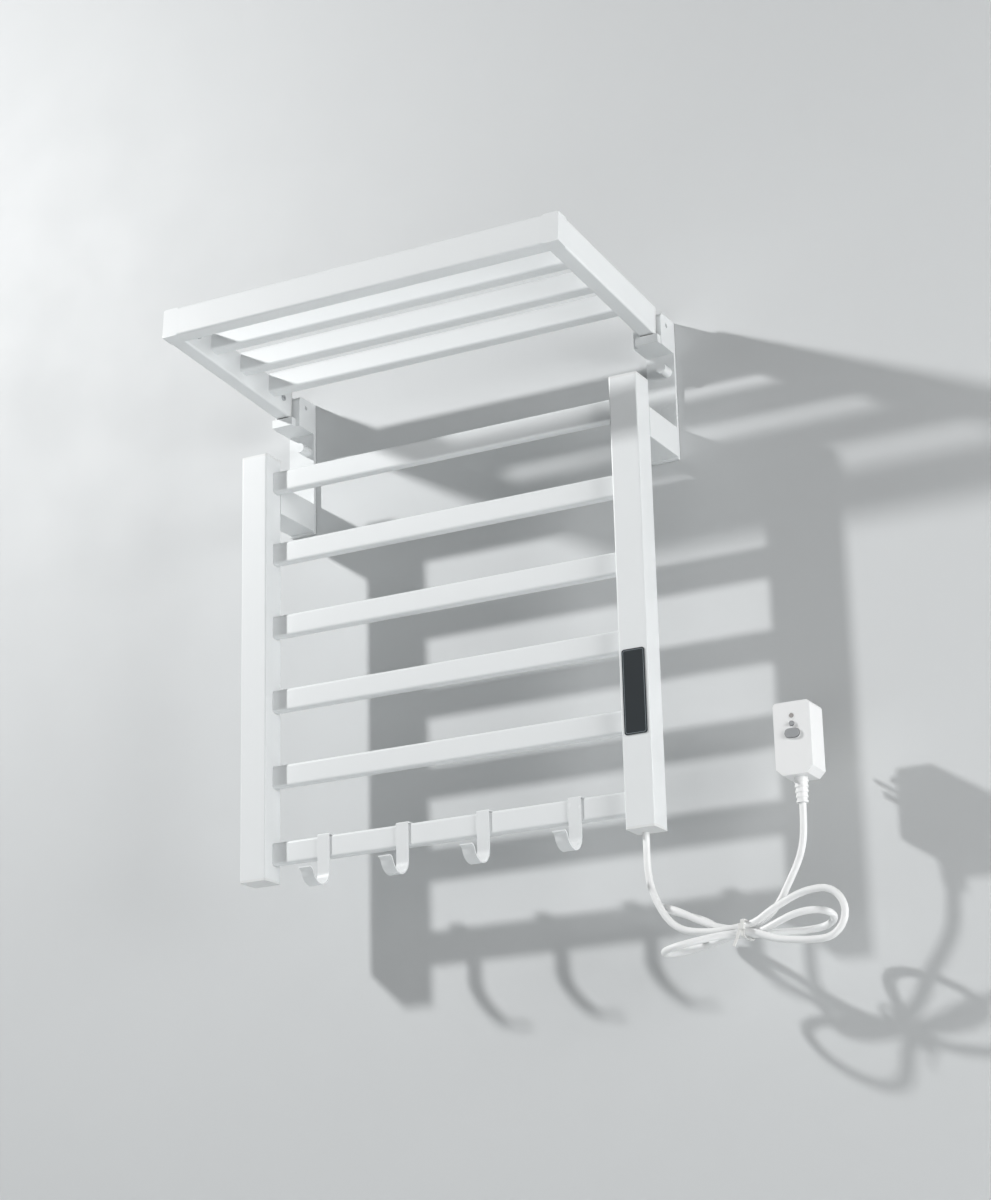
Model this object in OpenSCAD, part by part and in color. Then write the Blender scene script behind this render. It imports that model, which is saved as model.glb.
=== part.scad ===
// Wall-hung electric towel rail with a folding shelf, sliding hooks, mains cord and plug.
// Frame: X along the bars, Y into the wall (the wall is y = 0), Z up.
// The origin is the middle of the four wall-screw holes, on the wall.

/* [Rail] */
// Outer width of the rail
rack_w = 480; // [440:1:620]
// Height of the posts with their end caps
rack_h = 476; // [460:1:620]
// Width of a post
post_w = 32; // [30:0.5:40]
// Depth of a post, front to back
post_d = 30; // [28:0.5:36]
// Wall thickness of a post
post_wall = 1.6; // [1.2:0.1:2]
// Free distance from the wall to the back of the posts
wall_gap = 73; // [65:1:95]
// Distance from the top of the posts up to the corner rounding of their end caps
cap_t = 2.5; // [2:0.5:4]

/* [Bars] */
// Number of heated bars, six nodes are drawn
bar_count = 6; // [6:1:6]
// Height of a bar
bar_h = 24; // [18:0.5:28]
// Depth of a bar, front to back
bar_d = 12; // [9:0.5:13]
// Wall thickness of a bar
bar_wall = 1.2; // [1:0.1:1.5]
// Vertical pitch of the bars
bar_pitch = 83.2; // [70:0.1:85]
// Set-back of the bars' front from the posts' front
bar_set = 14; // [12.5:0.5:15]
// Length of bar inside each post
bar_in = 9; // [5:0.5:12]

/* [Touch panel] */
// Width of the glass touch panel
glass_w = 25; // [20:0.5:26]
// Height of the glass touch panel
glass_h = 88; // [60:1:110]
// Distance from the middle of the last bar but one down to the bottom of the glass
glass_low = 19.2; // [14:0.1:22]
// How far the glass stands out of the post
glass_proud = 0.8; // [0.5:0.1:2]

/* [Wall brackets] */
// Height of a wall plate
plate_h = 156; // [140:1:180]
// Thickness of a wall plate
plate_t = 4.5; // [3:0.5:6]
// Distance from the middle of the wall plates down to the top of the posts
plate_over = 14; // [5:1:20]
// Vertical spacing of the two wall-screw holes in a plate
screw_pitch = 118; // [110:1:126]
// Diameter of the wall-screw holes
screw_d = 5.5; // [4:0.1:6]
// Height of the tube between a wall plate and its post
standoff_h = 33; // [28:0.5:36]
// Wall thickness of that tube
standoff_wall = 2.4; // [1.5:0.1:3]

/* [Hinge blocks] */
// Depth of the hinge block's cheeks from the wall plate
block_d = 30.5; // [28:0.5:32]
// Distance from the wall plate's front to the hinge pin
pivot_out = 16.4; // [16:0.1:18]
// Distance from the top of a wall plate down to the hinge pin
pin_drop = 11; // [10:0.5:14]
// Diameter of the hinge pin
pin_d = 5; // [4:0.1:6]
// Reach of the ledge under the shelf arm, past the cheeks
ledge_out = 7.6; // [6:0.1:10]
// Thickness of the ledge
ledge_t = 9.5; // [8:0.5:12]
// Width of the ledge's nose
ledge_w = 26; // [22:0.5:28]
// Thickness of the rubber pad on the ledge
pad_t = 0.8; // [0.5:0.1:1.2]

/* [Folding shelf] */
// How much narrower the shelf is than the rail, at each side
shelf_inset = 4.7; // [3:0.1:7]
// Reach from the hinge pin to the front of the shelf
shelf_reach = 243; // [220:1:300]
// Upward slope of the open shelf, in degrees
shelf_tilt = 4.3; // [3.5:0.1:5]
// Width of the shelf's tube
arm_w = 18.4; // [17:0.1:20]
// Height of the shelf's tube
arm_h = 33; // [31:0.5:34]
// Wall thickness of the shelf's tube
arm_wall = 1.4; // [1.2:0.1:2]
// Number of slats, three nodes are drawn
slat_count = 3; // [3:1:3]
// Height of a slat
slat_h = 24; // [18:0.5:28]
// Depth of a slat
slat_d = 15; // [10:0.5:18]
// Pitch of the slats
slat_pitch = 57.7; // [45:0.1:62]
// Distance from the front of the shelf to the first slat
slat_from = 63.4; // [50:0.1:70]
// How far the slats stand above the arms
slat_rise = 2; // [0:0.5:3]

/* [Hooks] */
// Width of a hook's strip
hook_w = 14; // [10:0.5:18]
// Thickness of a hook's strip
hook_t = 1.5; // [1.2:0.1:2.5]
// Inner radius of a hook's curl
hook_r = 15.5; // [12:0.5:18]
// Drop from the bar's underside to the middle of the curl
hook_drop = 15; // [10:0.5:20]
// Gap between a hook and the bar it rides on
hook_gap = 0.3; // [0.2:0.1:0.6]

/* [Plug] */
// Width of the plug's body
plug_w = 38; // [34:0.5:42]
// Height of the plug's body
plug_h = 72; // [68:1:76]
// Depth of the plug's body
plug_d = 33; // [31:0.5:36]
// Diameter of the mains cord
cord_d = 7; // [6:0.1:7.4]

/* [Hidden] */
$fn = 48;
eps = 0.01;

// Named clearances
fit = 0.15;       // a piece that is pushed into another
run = 0.05;       // radial, the hinge pins
move_gap = 0.3;   // beside a moving piece

// Corner radii
post_r = 2;
bar_r = 3;
arm_r = 2.5;
plate_r = 1;

// Places that follow from the sizes
post_x = rack_w / 2 - post_w / 2;
front_y = -(wall_gap + post_d);
post_y = front_y + post_d / 2;
top_z = -plate_over;
bottom_z = top_z - rack_h;
inner_x = rack_w / 2 - post_w;
bar_margin = (rack_h - (bar_count - 1) * bar_pitch - bar_h) / 2;
bar_y = front_y + bar_set + bar_d / 2;
function bar_z(i) = top_z - bar_margin - bar_h / 2 - i * bar_pitch;
bar_len = 2 * (inner_x + bar_in);

cap_skirt = 8;

glass_z = bar_z(bar_count - 2) - glass_low + glass_h / 2;
frame_depth = 9;

plate_y = -plate_t;
standoff_z = -screw_pitch / 2;
standoff_len = wall_gap - plate_t;
standoff_y = -(plate_t + wall_gap) / 2;
core_len = 26;
bolt_d = 5;
bolt_up = 5;            // the core's bolt, above the wall screw's line
grub_d = 4;
grub_y = -wall_gap + 9;

lock_x = 7.5;          // beside the middle of the plate, the same way on both brackets
lock_z = 20.7;
lock_head = 11;
lock_len = 17;
lock_thread = 6;

pivot_y = plate_y - pivot_out;
pivot_z = plate_h / 2 - pin_drop;
shelf_w = rack_w - 2 * shelf_inset;
arm_x = shelf_w / 2 - arm_w / 2;
arm_end = 19;           // hinge pin to the square end of the shelf's arm
tongue_w = 10;
tongue_r = 12;
tenon_len = 30;
cheek_r = 6;
shelf_seat = arm_h / 2 / cos(shelf_tilt) - arm_end * tan(shelf_tilt);
ledge_top = pivot_z - shelf_seat - pad_t - move_gap;

corner_side = 26.5;     // corner piece along the arm
corner_front = 20.6;    // corner piece along the front rail
corner_tenon = 28;
rail_len = shelf_w - 2 * corner_front;
arm_len = shelf_reach - corner_side - arm_end;

arm_mid = -(arm_end + arm_len / 2);
corner_screw_y = -shelf_reach + corner_side + 13;
tongue_screw_y = -(arm_end + 15);
screw_head = 6.5;

hook_x = [-144.5, -50, 44, 147.5];
hook_bar_z = bar_z(bar_count - 1);
hook_open = 20;         // where the curl ends, below level
hook_flare = 6;         // inner radius of the flared tip

// Where the cord leaves the lower cap of the right post
cord_exit = [post_x - 5, front_y + 24, bottom_z];

// Plug, in the middle of its front face, and what stands on that face
plug_at = cord_exit + [161, -5.2, 72];
plug_split = plug_at[1] + plug_d / 2;
plug_wall = 2;
plug_cut = 9;
lamp_d = 4.6;
lamp_up = 22;
test_d = 4.6;
test_up = 14;
reset_w = 15;
reset_h = 9;
reset_up = 4.5;
button_proud = 2.2;
boot_bottom = cord_exit + [161, 11, 11];
pin_len = 18;
pin_size = [6.3, 1.6];
// across, up and turn of each pin
pin_places = [[-7.9, 6, 60], [7.9, 6, -60], [0, -8, 90]];

// Mains cord: it leaves the right post's lower cap, is folded into a hank of four runs held by a
// cable tie, and rises to the plug.
tie_at = cord_exit + [99, 7, -106];
fold_r = 22;            // middle of the cord at the hank's folds
ring_pitch = 15;        // between the rings of the cord's tube
handle = 0.39;          // share of a chord that makes a quarter turn round
tie_w = 3.5;
tie_t = 1.2;
tie_ring = [26, 18];    // outside, across and high
// Where the cord's five passes go through the tie: top front, top back, bottom front, middle and back
pass_tf = tie_at + [0, -3.8, 3.8];
pass_tb = tie_at + [0, 3.8, 3.8];
pass_bf = tie_at + [0, -7.6, -3.4];
pass_bm = tie_at + [0, 0, -3.4];
pass_bb = tie_at + [0, 7.6, -3.4];
to_right = [1, 0, 0];
to_left = [-1, 0, 0];
to_floor = [0, 0, -1];
function unit(v) = v / norm(v);
// A fold of the hank: in beside the tip, round it, and back; across is the side it comes back on
function fold(tip, across) =
    let (u = unit(tip - tie_at), w = unit(across - (across * u) * u), c = tip - fold_r * u)
    [[c - fold_r * w, u], [tip, w], [c + fold_r * w, -u]];
// Places on the cord's middle line and its direction there
cord_stations = concat(
    [[cord_exit + [0, 0, 18], to_floor], [cord_exit + [0, 0, -22], to_floor],
     [cord_exit + [10, 0, -72], [3, 0, -6.2]], [cord_exit + [43, 2, -102], [1, 0, -0.2]],
     [pass_tf, to_right + [0, 0, 0.1]], [tie_at + [32, -7, 17], [2, 0, 0.9]],
     [tie_at + [79, -9, 30], to_right], [tie_at + [103, -9, 6], to_floor], [tie_at + [79, -9, -18], to_left],
     [tie_at + [37, -8, -14], [-1, 0, 0.18]], [pass_bf, to_left]],
    fold(tie_at + [-83, -8, -15], [0, 1, 0.1]), [[pass_bm, to_right]],
    fold(tie_at + [80, 22, 8], [0, 1, -0.2]), [[pass_bb, to_left]],
    fold(tie_at + [-97, 28, 36], [0, -1, 0]), [[pass_tb, to_right + [0, 0, 0.15]]],
    [[tie_at + [38, 7, 35], [0.5, 0, 0.87]], [cord_exit + [160, 12, -14], [0.05, 0, 1]],
     [cord_exit + [161, 11, 34], [0, 0, 1]]]
);

// ---- shared shapes ----

// Rectangle with round corners, centred
module rounded(w, h, r) {
    square([w - 2 * r, h], center = true);
    square([w, h - 2 * r], center = true);
    for (x = [-1, 1], y = [-1, 1])
        translate([x * (w / 2 - r), y * (h / 2 - r)]) circle(r = r);
}

// Ring between a rounded rectangle and the same one inset by its wall
module rounded_ring(w, h, r, wall) {
    difference() {
        rounded(w, h, r);
        rounded(w - 2 * wall, h - 2 * wall, max(r - wall, 0.4));
    }
}

// Bar of a rounded section that runs along X, Y or Z, centred on its length
module along_x(l) rotate([90, 0, 90]) linear_extrude(height = l, center = true) children();
module along_y(l) rotate([90, 0, 0]) linear_extrude(height = l, center = true) children();
module along_z(l) linear_extrude(height = l, center = true) children();

// Cylinders along X and Y, centred on their length
module rod_x(d, l) rotate([0, 90, 0]) cylinder(d = d, h = l, center = true);
module rod_y(d, l) rotate([90, 0, 0]) cylinder(d = d, h = l, center = true);

// Copies its children to both sides of the rail
module both_sides() {
    children();
    mirror([1, 0, 0]) children();
}

// ---- rail ----

module post(side) {
    color("white")
    difference() {
        translate([side * post_x, post_y, (top_z + bottom_z) / 2])
            along_z(rack_h - 2 * cap_t) rounded_ring(post_w, post_d, post_r, post_wall);
        for (i = [0 : bar_count - 1])
            translate([side * inner_x, bar_y, bar_z(i)])
                along_x(4 * post_wall) rounded(bar_d + 2 * fit, bar_h + 2 * fit, bar_r);
        // bolt hole to the standoff's core, from the back
        translate([side * post_x, -wall_gap, standoff_z + bolt_up]) rod_y(bolt_d + 0.2, 4 * post_wall);
        if (side > 0)
            translate([post_x, front_y, glass_z])
                along_y(4 * post_wall) rounded(glass_w - 2 + 2 * fit, glass_h - 2 + 2 * fit, 2);
    }
}

module end_cap(side, up) {
    z = up > 0 ? top_z : bottom_z;
    color("white")
    difference() {
        translate([side * post_x, post_y, z]) {
            translate([0, 0, -up * cap_t / 2]) along_z(cap_t) rounded(post_w, post_d, post_r);
            translate([0, 0, -up * (cap_t + cap_skirt / 2 - eps)])
                along_z(cap_skirt)
                    rounded_ring(post_w - 2 * post_wall - 2 * fit, post_d - 2 * post_wall - 2 * fit, 1, 1.4);
        }
        if (side > 0 && up < 0)
            translate([cord_exit[0], cord_exit[1], bottom_z - eps])
                cylinder(d = cord_d + 0.4, h = cap_t + cap_skirt + 1);
    }
}

module bar(i) {
    color("white")
    translate([0, bar_y, bar_z(i)]) along_x(bar_len) rounded_ring(bar_d, bar_h, bar_r, bar_wall);
}

// Silicone-sheathed heating cords, one through each bar, with crimped cold ends
module heating_wires() {
    wire_d = 4.2;
    color("firebrick")
    for (i = [0 : bar_count - 1])
        translate([0, bar_y, bar_z(i)]) {
            rod_x(wire_d, bar_len - 6);
            for (s = [-1, 1])
                translate([s * (bar_len / 2 - 5), 0, 0]) rod_x(wire_d + 2, 7);
        }
}

// ---- control in the right post ----

// Frame clipped into the post's opening, flush with its front
module panel_frame() {
    color("black")
    translate([post_x, front_y + frame_depth / 2, glass_z])
        along_y(frame_depth) rounded_ring(glass_w - 2, glass_h - 2, 2, 1.5);
}

module touch_glass() {
    color("black")
    translate([post_x, front_y - glass_proud / 2, glass_z])
        along_y(glass_proud) rounded(glass_w, glass_h, 3);
}

// Board behind the glass with its display, touch chip and connector
module control_board() {
    board_y = front_y + frame_depth - 4;
    color("darkgreen")
    translate([post_x, board_y, glass_z]) {
        cube([glass_w - 6, 1.6, glass_h - 8], center = true);
        translate([0, 2, 10]) cube([12, 2.6, 8], center = true);
        translate([0, 3.3, -26]) cube([11, 5.2, 6], center = true);
        translate([0, -1.4, 24]) cube([14, 1.4, 26], center = true);
    }
}

// Sealed mains driver with its relay, below the panel
module power_module() {
    color("dimgray")
    translate([post_x + 1.5, post_y, glass_z - glass_h / 2 - 30]) {
        cube([20, 17, 38], center = true);
        translate([0, 0, 21.5]) cube([15, 12, 5.02], center = true);
    }
}

// Clip-on temperature sensor on the right end of the lowest bar
module bar_sensor() {
    clip_t = 1;
    color("silver")
    translate([inner_x + post_wall + 3, bar_y, bar_z(bar_count - 1)]) {
        along_x(5) rounded_ring(bar_d + 2 * fit + 2 * clip_t, bar_h + 2 * fit + 2 * clip_t, bar_r, clip_t);
        translate([0, 0, bar_h / 2 + clip_t + 1.6]) cube([5, 5, 3.4], center = true);
    }
}

module terminal_block() {
    color("ivory")
    translate([post_x + 5, post_y - 2, bottom_z + 24])
        difference() {
            cube([14, 16, 10], center = true);
            for (x = [-4, 0, 4]) translate([x, 0, 3]) rod_y(2.2, 20);
        }
}

// Two-part cord clamp that grips the cord inside the lower cap
module cord_clamp() {
    color("gray")
    translate([cord_exit[0], cord_exit[1], bottom_z + cap_t + cap_skirt + 3.2])
        difference() {
            translate([3, -5, 0]) cube([16, 17, 6], center = true);
            cylinder(d = cord_d + 0.3, h = 8, center = true);
        }
}

// ---- wall brackets ----

module wall_plate(side) {
    color("white")
    translate([side * post_x, plate_y / 2, 0])
        difference() {
            along_y(plate_t) rounded(post_w, plate_h, plate_r);
            for (z = [-1, 1]) translate([0, 0, z * screw_pitch / 2]) rod_y(screw_d, plate_t + 1);
            translate([lock_x, 0, lock_z]) rod_y(lock_thread - 1, plate_t + 1);
        }
}

module standoff(side) {
    color("white")
    difference() {
        translate([side * post_x, standoff_y, standoff_z])
            along_y(standoff_len) rounded_ring(post_w, standoff_h, plate_r, standoff_wall);
        translate([side * post_x, grub_y, standoff_z - standoff_h / 2])
            cylinder(d = grub_d + 0.4, h = 3 * standoff_wall, center = true);
    }
}

// Insert bolted to the back of each post; the standoff tube slips over it
module standoff_cores() {
    core_w = post_w - 2 * standoff_wall - 2 * fit;
    core_h = standoff_h - 2 * standoff_wall - 2 * fit;
    color("silver")
    both_sides()
        translate([post_x, -wall_gap + core_len / 2, standoff_z])
            difference() {
                along_y(core_len) rounded(core_w, core_h, 1);
                translate([0, 0, bolt_up]) rod_y(bolt_d, core_len + 1);
                translate([0, -core_len / 2 + 9, -core_h / 2 - eps]) cylinder(d = grub_d - 0.7, h = 7);
            }
}

// Bolts from inside each post into its standoff core
module core_bolts() {
    color("dimgray")
    both_sides()
        translate([post_x, -wall_gap, standoff_z + bolt_up]) {
            translate([0, 10 - post_wall / 2, 0]) rod_y(bolt_d, 20 + post_wall);
            translate([0, -post_wall - 1.5, 0]) rod_y(8.5, 3);
        }
}

// Screws from below that hold each standoff tube on its core
module standoff_screws() {
    color("dimgray")
    both_sides()
        translate([post_x, grub_y, standoff_z - standoff_h / 2 + 0.4])
            difference() {
                union() {
                    cylinder(d = grub_d, h = standoff_wall - 0.4);
                    cylinder(d = grub_d - 0.8, h = standoff_wall + 5);
                }
                translate([0, 0, -eps]) cylinder(d = 2, h = 1.6, $fn = 6);
            }
}

// Round-headed screws that lock each bracket to its wall base
module lock_screws() {
    color("white")
    for (side = [-1, 1])
        translate([side * post_x + lock_x, plate_y, lock_z]) {
            translate([0, -lock_len / 2, 0]) rod_y(lock_head, lock_len);
            translate([0, plate_t / 2 - eps, 0]) rod_y(lock_thread - 1.2, plate_t);
        }
}

// Outline of a cheek, seen from the side: y along the first axis, z along the second
module cheek_outline() {
    block_top = plate_h / 2 - 0.5;
    difference() {
        translate([0, 0]) square([block_d, block_top - ledge_top + ledge_t]);
        translate([block_d - cheek_r, block_top - ledge_top + ledge_t - cheek_r])
            difference() {
                square([cheek_r + 1, cheek_r + 1]);
                circle(r = cheek_r);
            }
    }
}

module hinge_block(side) {
    slot = tongue_w + 2 * move_gap;
    cheek_in = side * arm_x;
    color("white")
    difference() {
        union() {
            translate([side * post_x, plate_y, ledge_top - ledge_t])
                rotate([90, 0, -90]) linear_extrude(height = post_w, center = true) cheek_outline();
            translate([cheek_in, plate_y - (block_d + ledge_out) / 2, ledge_top - ledge_t / 2])
                cube([ledge_w, block_d + ledge_out, ledge_t], center = true);
        }
        translate([cheek_in - slot / 2, plate_y - block_d - 1, ledge_top]) cube([slot, block_d + 1 + eps, plate_h]);
        translate([side * post_x, pivot_y, pivot_z]) rod_x(pin_d, post_w + 1);
    }
}

module hinge_pins() {
    color("silver")
    both_sides()
        translate([post_x, pivot_y, pivot_z]) {
            rod_x(pin_d, post_w - 2);
        }
}

module rest_pads() {
    pad_len = ledge_out + block_d - pivot_out - arm_end + 1;
    color("dimgray")
    both_sides()
        translate([arm_x, plate_y - block_d - ledge_out + pad_len / 2 + 0.4, ledge_top + pad_t / 2])
            cube([arm_w - 4, pad_len - 0.4, pad_t], center = true);
}

// ---- folding shelf, drawn level about its hinge line and then raised by its slope ----

module shelf_place() {
    translate([0, pivot_y, pivot_z]) rotate([-shelf_tilt, 0, 0]) children();
}

module arm_section() rounded_ring(arm_w, arm_h, arm_r, arm_wall);
module tenon_section() rounded(arm_w - 2 * arm_wall - 2 * fit, arm_h - 2 * arm_wall - 2 * fit, 1);

module arm(side) {
    color("white")
    shelf_place()
        difference() {
            translate([side * arm_x, arm_mid, 0]) along_y(arm_len) arm_section();
            for (y = [corner_screw_y, tongue_screw_y])
                translate([side * (arm_x - arm_w / 2), y, 0]) rod_x(4, 4 * arm_wall);
        }
}

module front_rail() {
    color("white")
    shelf_place()
        translate([0, -shelf_reach + arm_w / 2, 0]) along_x(rail_len) arm_section();
}

// Elbow that joins the front rail to an arm, with a tenon into each
module corner(side) {
    color("white")
    shelf_place()
        difference() {
            union() {
                translate([side * (shelf_w / 2 - corner_front / 2), -shelf_reach + arm_w / 2, 0])
                    along_x(corner_front) rounded(arm_w, arm_h, arm_r);
                translate([side * arm_x, -shelf_reach + corner_side / 2, 0])
                    along_y(corner_side) rounded(arm_w, arm_h, arm_r);
                translate([side * arm_x, -shelf_reach + corner_side + corner_tenon / 2 - eps, 0])
                    along_y(corner_tenon) tenon_section();
                translate([side * (rail_len / 2 - corner_tenon / 2 + eps), -shelf_reach + arm_w / 2, 0])
                    along_x(corner_tenon) tenon_section();
            }
            translate([side * (arm_x - arm_w / 2), corner_screw_y, 0]) rod_x(3.2, 16);
        }
}

module slat(i) {
    y = -shelf_reach + slat_from + slat_d / 2 + i * slat_pitch;
    color("white")
    shelf_place()
        translate([0, y, arm_h / 2 + slat_rise - slat_h / 2])
            along_x(shelf_w - 2 * arm_w) rounded_ring(slat_d, slat_h, bar_r, arm_wall);
}

// End piece of an arm: a tenon inside the tube, a square shoulder and the tongue that turns on the pin
module tongue(side) {
    shoulder = 3;
    color("white")
    shelf_place()
        difference() {
            union() {
                translate([side * arm_x, -arm_end - tenon_len / 2 + shoulder, 0])
                    along_y(tenon_len) tenon_section();
                translate([side * arm_x, -arm_end + shoulder / 2, 0])
                    along_y(shoulder) rounded(arm_w, arm_h, arm_r);
                translate([side * arm_x, 0, 0]) rod_x(2 * tongue_r, tongue_w);
                translate([side * arm_x, -arm_end / 2, 0])
                    cube([tongue_w, arm_end, 2 * tongue_r], center = true);
            }
            translate([side * arm_x, 0, 0]) rod_x(pin_d + 2 * run, tongue_w + 1);
            translate([side * (arm_x - arm_w / 2), tongue_screw_y, 0]) rod_x(3.2, 16);
        }
}

// Pan-head screw along X: the head's underside is at the origin and the shank runs to +X
module pan_screw(shank) {
    color("silver")
    difference() {
        union() {
            translate([-0.9, 0, 0]) rod_x(screw_head, 1.8);
            translate([shank / 2 - eps, 0, 0]) rod_x(3, shank);
        }
        translate([-1.8, 0, 0]) {
            cube([1.6, 3.6, 0.8], center = true);
            cube([1.6, 0.8, 3.6], center = true);
        }
    }
}

module shelf_screws(y) {
    color("silver")
    shelf_place()
        both_sides() translate([arm_x - arm_w / 2, y, 0]) pan_screw(7);
}

// ---- hooks ----

// One face of a hook's strip, down the bar's front, round the curl and out along the flared tip:
// face 0 is the inner one and face 1 the outer one
function hook_edge(face) =
    let (
        low = -bar_h / 2 - hook_drop,
        middle = [hook_gap + hook_t + hook_r, low],
        turn = middle + (hook_r + hook_t + hook_flare) * [cos(hook_open), -sin(hook_open)]
    )
    concat(
        [[hook_gap + (1 - face) * hook_t, 0]],
        [for (k = [0 : 20]) let (a = 180 + k / 20 * (180 - hook_open))
            middle + (hook_r + face * hook_t) * [cos(a), sin(a)]],
        [for (k = [1 : 8]) let (a = 180 - hook_open - 8.5 * k)
            turn + (hook_flare + (1 - face) * hook_t) * [cos(a), sin(a)]]
    );

// The same points from last to first
function reversed(v) = [for (k = [len(v) - 1 : -1 : 0]) v[k]];

// Rounded upper corner of a hook, as points from one angle to the next quarter
function hook_corner(x, from) =
    [for (k = [0 : 6]) [x, bar_h / 2 + hook_gap] + hook_t * [cos(from + 15 * k), sin(from + 15 * k)]];

// Side outline of a hook: the first axis runs from the bar's front towards the room, the second is up.
// The strip goes over the bar, down its front, and curls forward and up to a flared tip.
module hook_outline() {
    back = -bar_d - hook_gap;
    top = bar_h / 2 + hook_gap;
    polygon(concat(
        [[back, 0], [back, top], [hook_gap, top]], hook_edge(1), reversed(hook_edge(0)),
        hook_corner(hook_gap, 0), hook_corner(back, 90), [[back - hook_t, 0]]
    ));
}

module hook(i) {
    color("white")
    translate([hook_x[i], front_y + bar_set, hook_bar_z])
        rotate([90, 0, -90]) linear_extrude(height = hook_w, center = true) hook_outline();
}

// ---- cord and plug ----

// Points of the round curve from station a to station b, without a itself
function leg(a, b) =
    let (chord = norm(b[0] - a[0]), n = max(1, round(chord / ring_pitch)), h = handle * chord)
    [for (i = [1 : n])
        let (t = i / n, s = 1 - t, p = a[0] + h * unit(a[1]), q = b[0] - h * unit(b[1]))
        pow(s, 3) * a[0] + 3 * s * s * t * p + 3 * s * t * t * q + pow(t, 3) * b[0]];
cord_path = concat(
    [cord_stations[0][0]],
    [for (i = [1 : len(cord_stations) - 1]) each leg(cord_stations[i - 1], cord_stations[i])]
);

function tangent(p, i) = unit(p[min(i + 1, len(p) - 1)] - p[max(i - 1, 0)]);
// Side directions carried along the route without twisting
function carried(p, i = 1, n = [[1, 0, 0]]) =
    i >= len(p) ? n :
    let (t = tangent(p, i), m = n[i - 1] - (n[i - 1] * t) * t)
    carried(p, i + 1, concat(n, [unit(m)]));

// Tube of a given diameter through the middle points p, closed at both ends
module tube(p, d, sides) {
    n = carried(p);
    rings = [for (i = [0 : len(p) - 1])
        let (t = tangent(p, i), b = cross(t, n[i]))
        for (k = [0 : sides - 1])
            p[i] + d / 2 * (cos(360 * k / sides) * n[i] + sin(360 * k / sides) * b)];
    walls = [for (i = [0 : len(p) - 2], k = [0 : sides - 1])
        let (a = i * sides + k, b = i * sides + (k + 1) % sides)
        [a, b, b + sides, a + sides]];
    low = [for (k = [sides - 1 : -1 : 0]) k];
    high = [for (k = [0 : sides - 1]) (len(p) - 1) * sides + k];
    polyhedron(points = rings, faces = concat([low], walls, [high]), convexity = 10);
}

module mains_cord() {
    color("white") tube(cord_path, cord_d, 10);
}

// Tie around the hank: band, head and cut tail
module cable_tie() {
    color("white")
    translate(tie_at) {
        along_x(tie_w) rounded_ring(tie_ring[0], tie_ring[1], 3, tie_t);
        translate([0, -tie_ring[0] / 2 - 1.6, 1]) cube([tie_w + 1.5, 4.2, 5], center = true);
        translate([-4, -tie_ring[0] / 2 - 2.6, -8]) rotate([0, 25, 0]) cube([tie_w - 0.8, 1, 20], center = true);
    }
}

// Outline of the plug seen from the front, with its two lower corners cut off
module plug_outline(inset) {
    difference() {
        rounded(plug_w - 2 * inset, plug_h - 2 * inset, 4 - inset);
        for (s = [-1, 1])
            translate([s * plug_w / 2, -plug_h / 2]) rotate(45)
                square(plug_cut + inset * 0.6, center = true);
    }
}

// Half of the plug's case: open towards the other half
module plug_half(depth, to_room) {
    difference() {
        translate([0, -to_room * depth / 2, 0]) along_y(depth) plug_outline(0);
        translate([0, -to_room * (depth - plug_wall) / 2 + to_room * eps, 0])
            along_y(depth - plug_wall + 2 * eps) plug_outline(plug_wall);
    }
}

module plug_front() {
    color("white")
    translate([plug_at[0], plug_split, plug_at[2]])
        difference() {
            plug_half(plug_split - plug_at[1], 1);
            translate([0, plug_at[1] - plug_split, 0]) {
                translate([0, 0, lamp_up]) rod_y(lamp_d, 4 * plug_wall);
                translate([0, 0, test_up]) rod_y(test_d + 2 * move_gap, 4 * plug_wall);
                translate([0, 0, reset_up])
                    along_y(4 * plug_wall)
                        rounded(reset_w + 2 * move_gap, reset_h + 2 * move_gap, reset_h / 2 + move_gap - eps);
            }
        }
}

module plug_back() {
    color("white")
    translate([plug_at[0], plug_split, plug_at[2]])
        difference() {
            plug_half(plug_d - (plug_split - plug_at[1]), -1);
            for (a = pin_places)
                translate([a[0], plug_at[1] + plug_d - plug_split, a[1]])
                    rotate([0, a[2], 0]) cube([pin_size[0], 4 * plug_wall, pin_size[1]], center = true);
        }
}

// Three flat pins that stand into the room's socket
module plug_pins() {
    color("silver")
    for (a = pin_places)
        translate([plug_at[0] + a[0], plug_at[1] + plug_d + pin_len / 2 - 3, plug_at[2] + a[1]])
            rotate([0, a[2], 0]) cube([pin_size[0], pin_len + 6, pin_size[1]], center = true);
}

// Leakage breaker inside the plug
module plug_core() {
    color("dimgray")
    translate([plug_at[0], plug_split + 3, plug_at[2] - 4]) {
        cube([28, 12, 46], center = true);
    }
}

// Ribbed boot that keeps the cord from kinking
module plug_boot() {
    top = plug_at[2] - plug_h / 2;
    len = top - boot_bottom[2];
    color("white")
    difference() {
        translate([boot_bottom[0], boot_bottom[1], 0]) {
            translate([0, 0, boot_bottom[2]]) cylinder(d1 = cord_d + 2.6, d2 = cord_d + 6, h = len);
            translate([0, 0, boot_bottom[2]]) cylinder(d = cord_d + 4.5, h = 1.8);
            for (i = [1 : 4])
                translate([0, 0, boot_bottom[2] + i * len / 5]) cylinder(d = cord_d + 4.2 + 0.7 * i, h = 2.2);
        }
        translate([boot_bottom[0], boot_bottom[1], boot_bottom[2] - 1]) cylinder(d = cord_d + 0.2, h = len + 2);
    }
}

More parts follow.
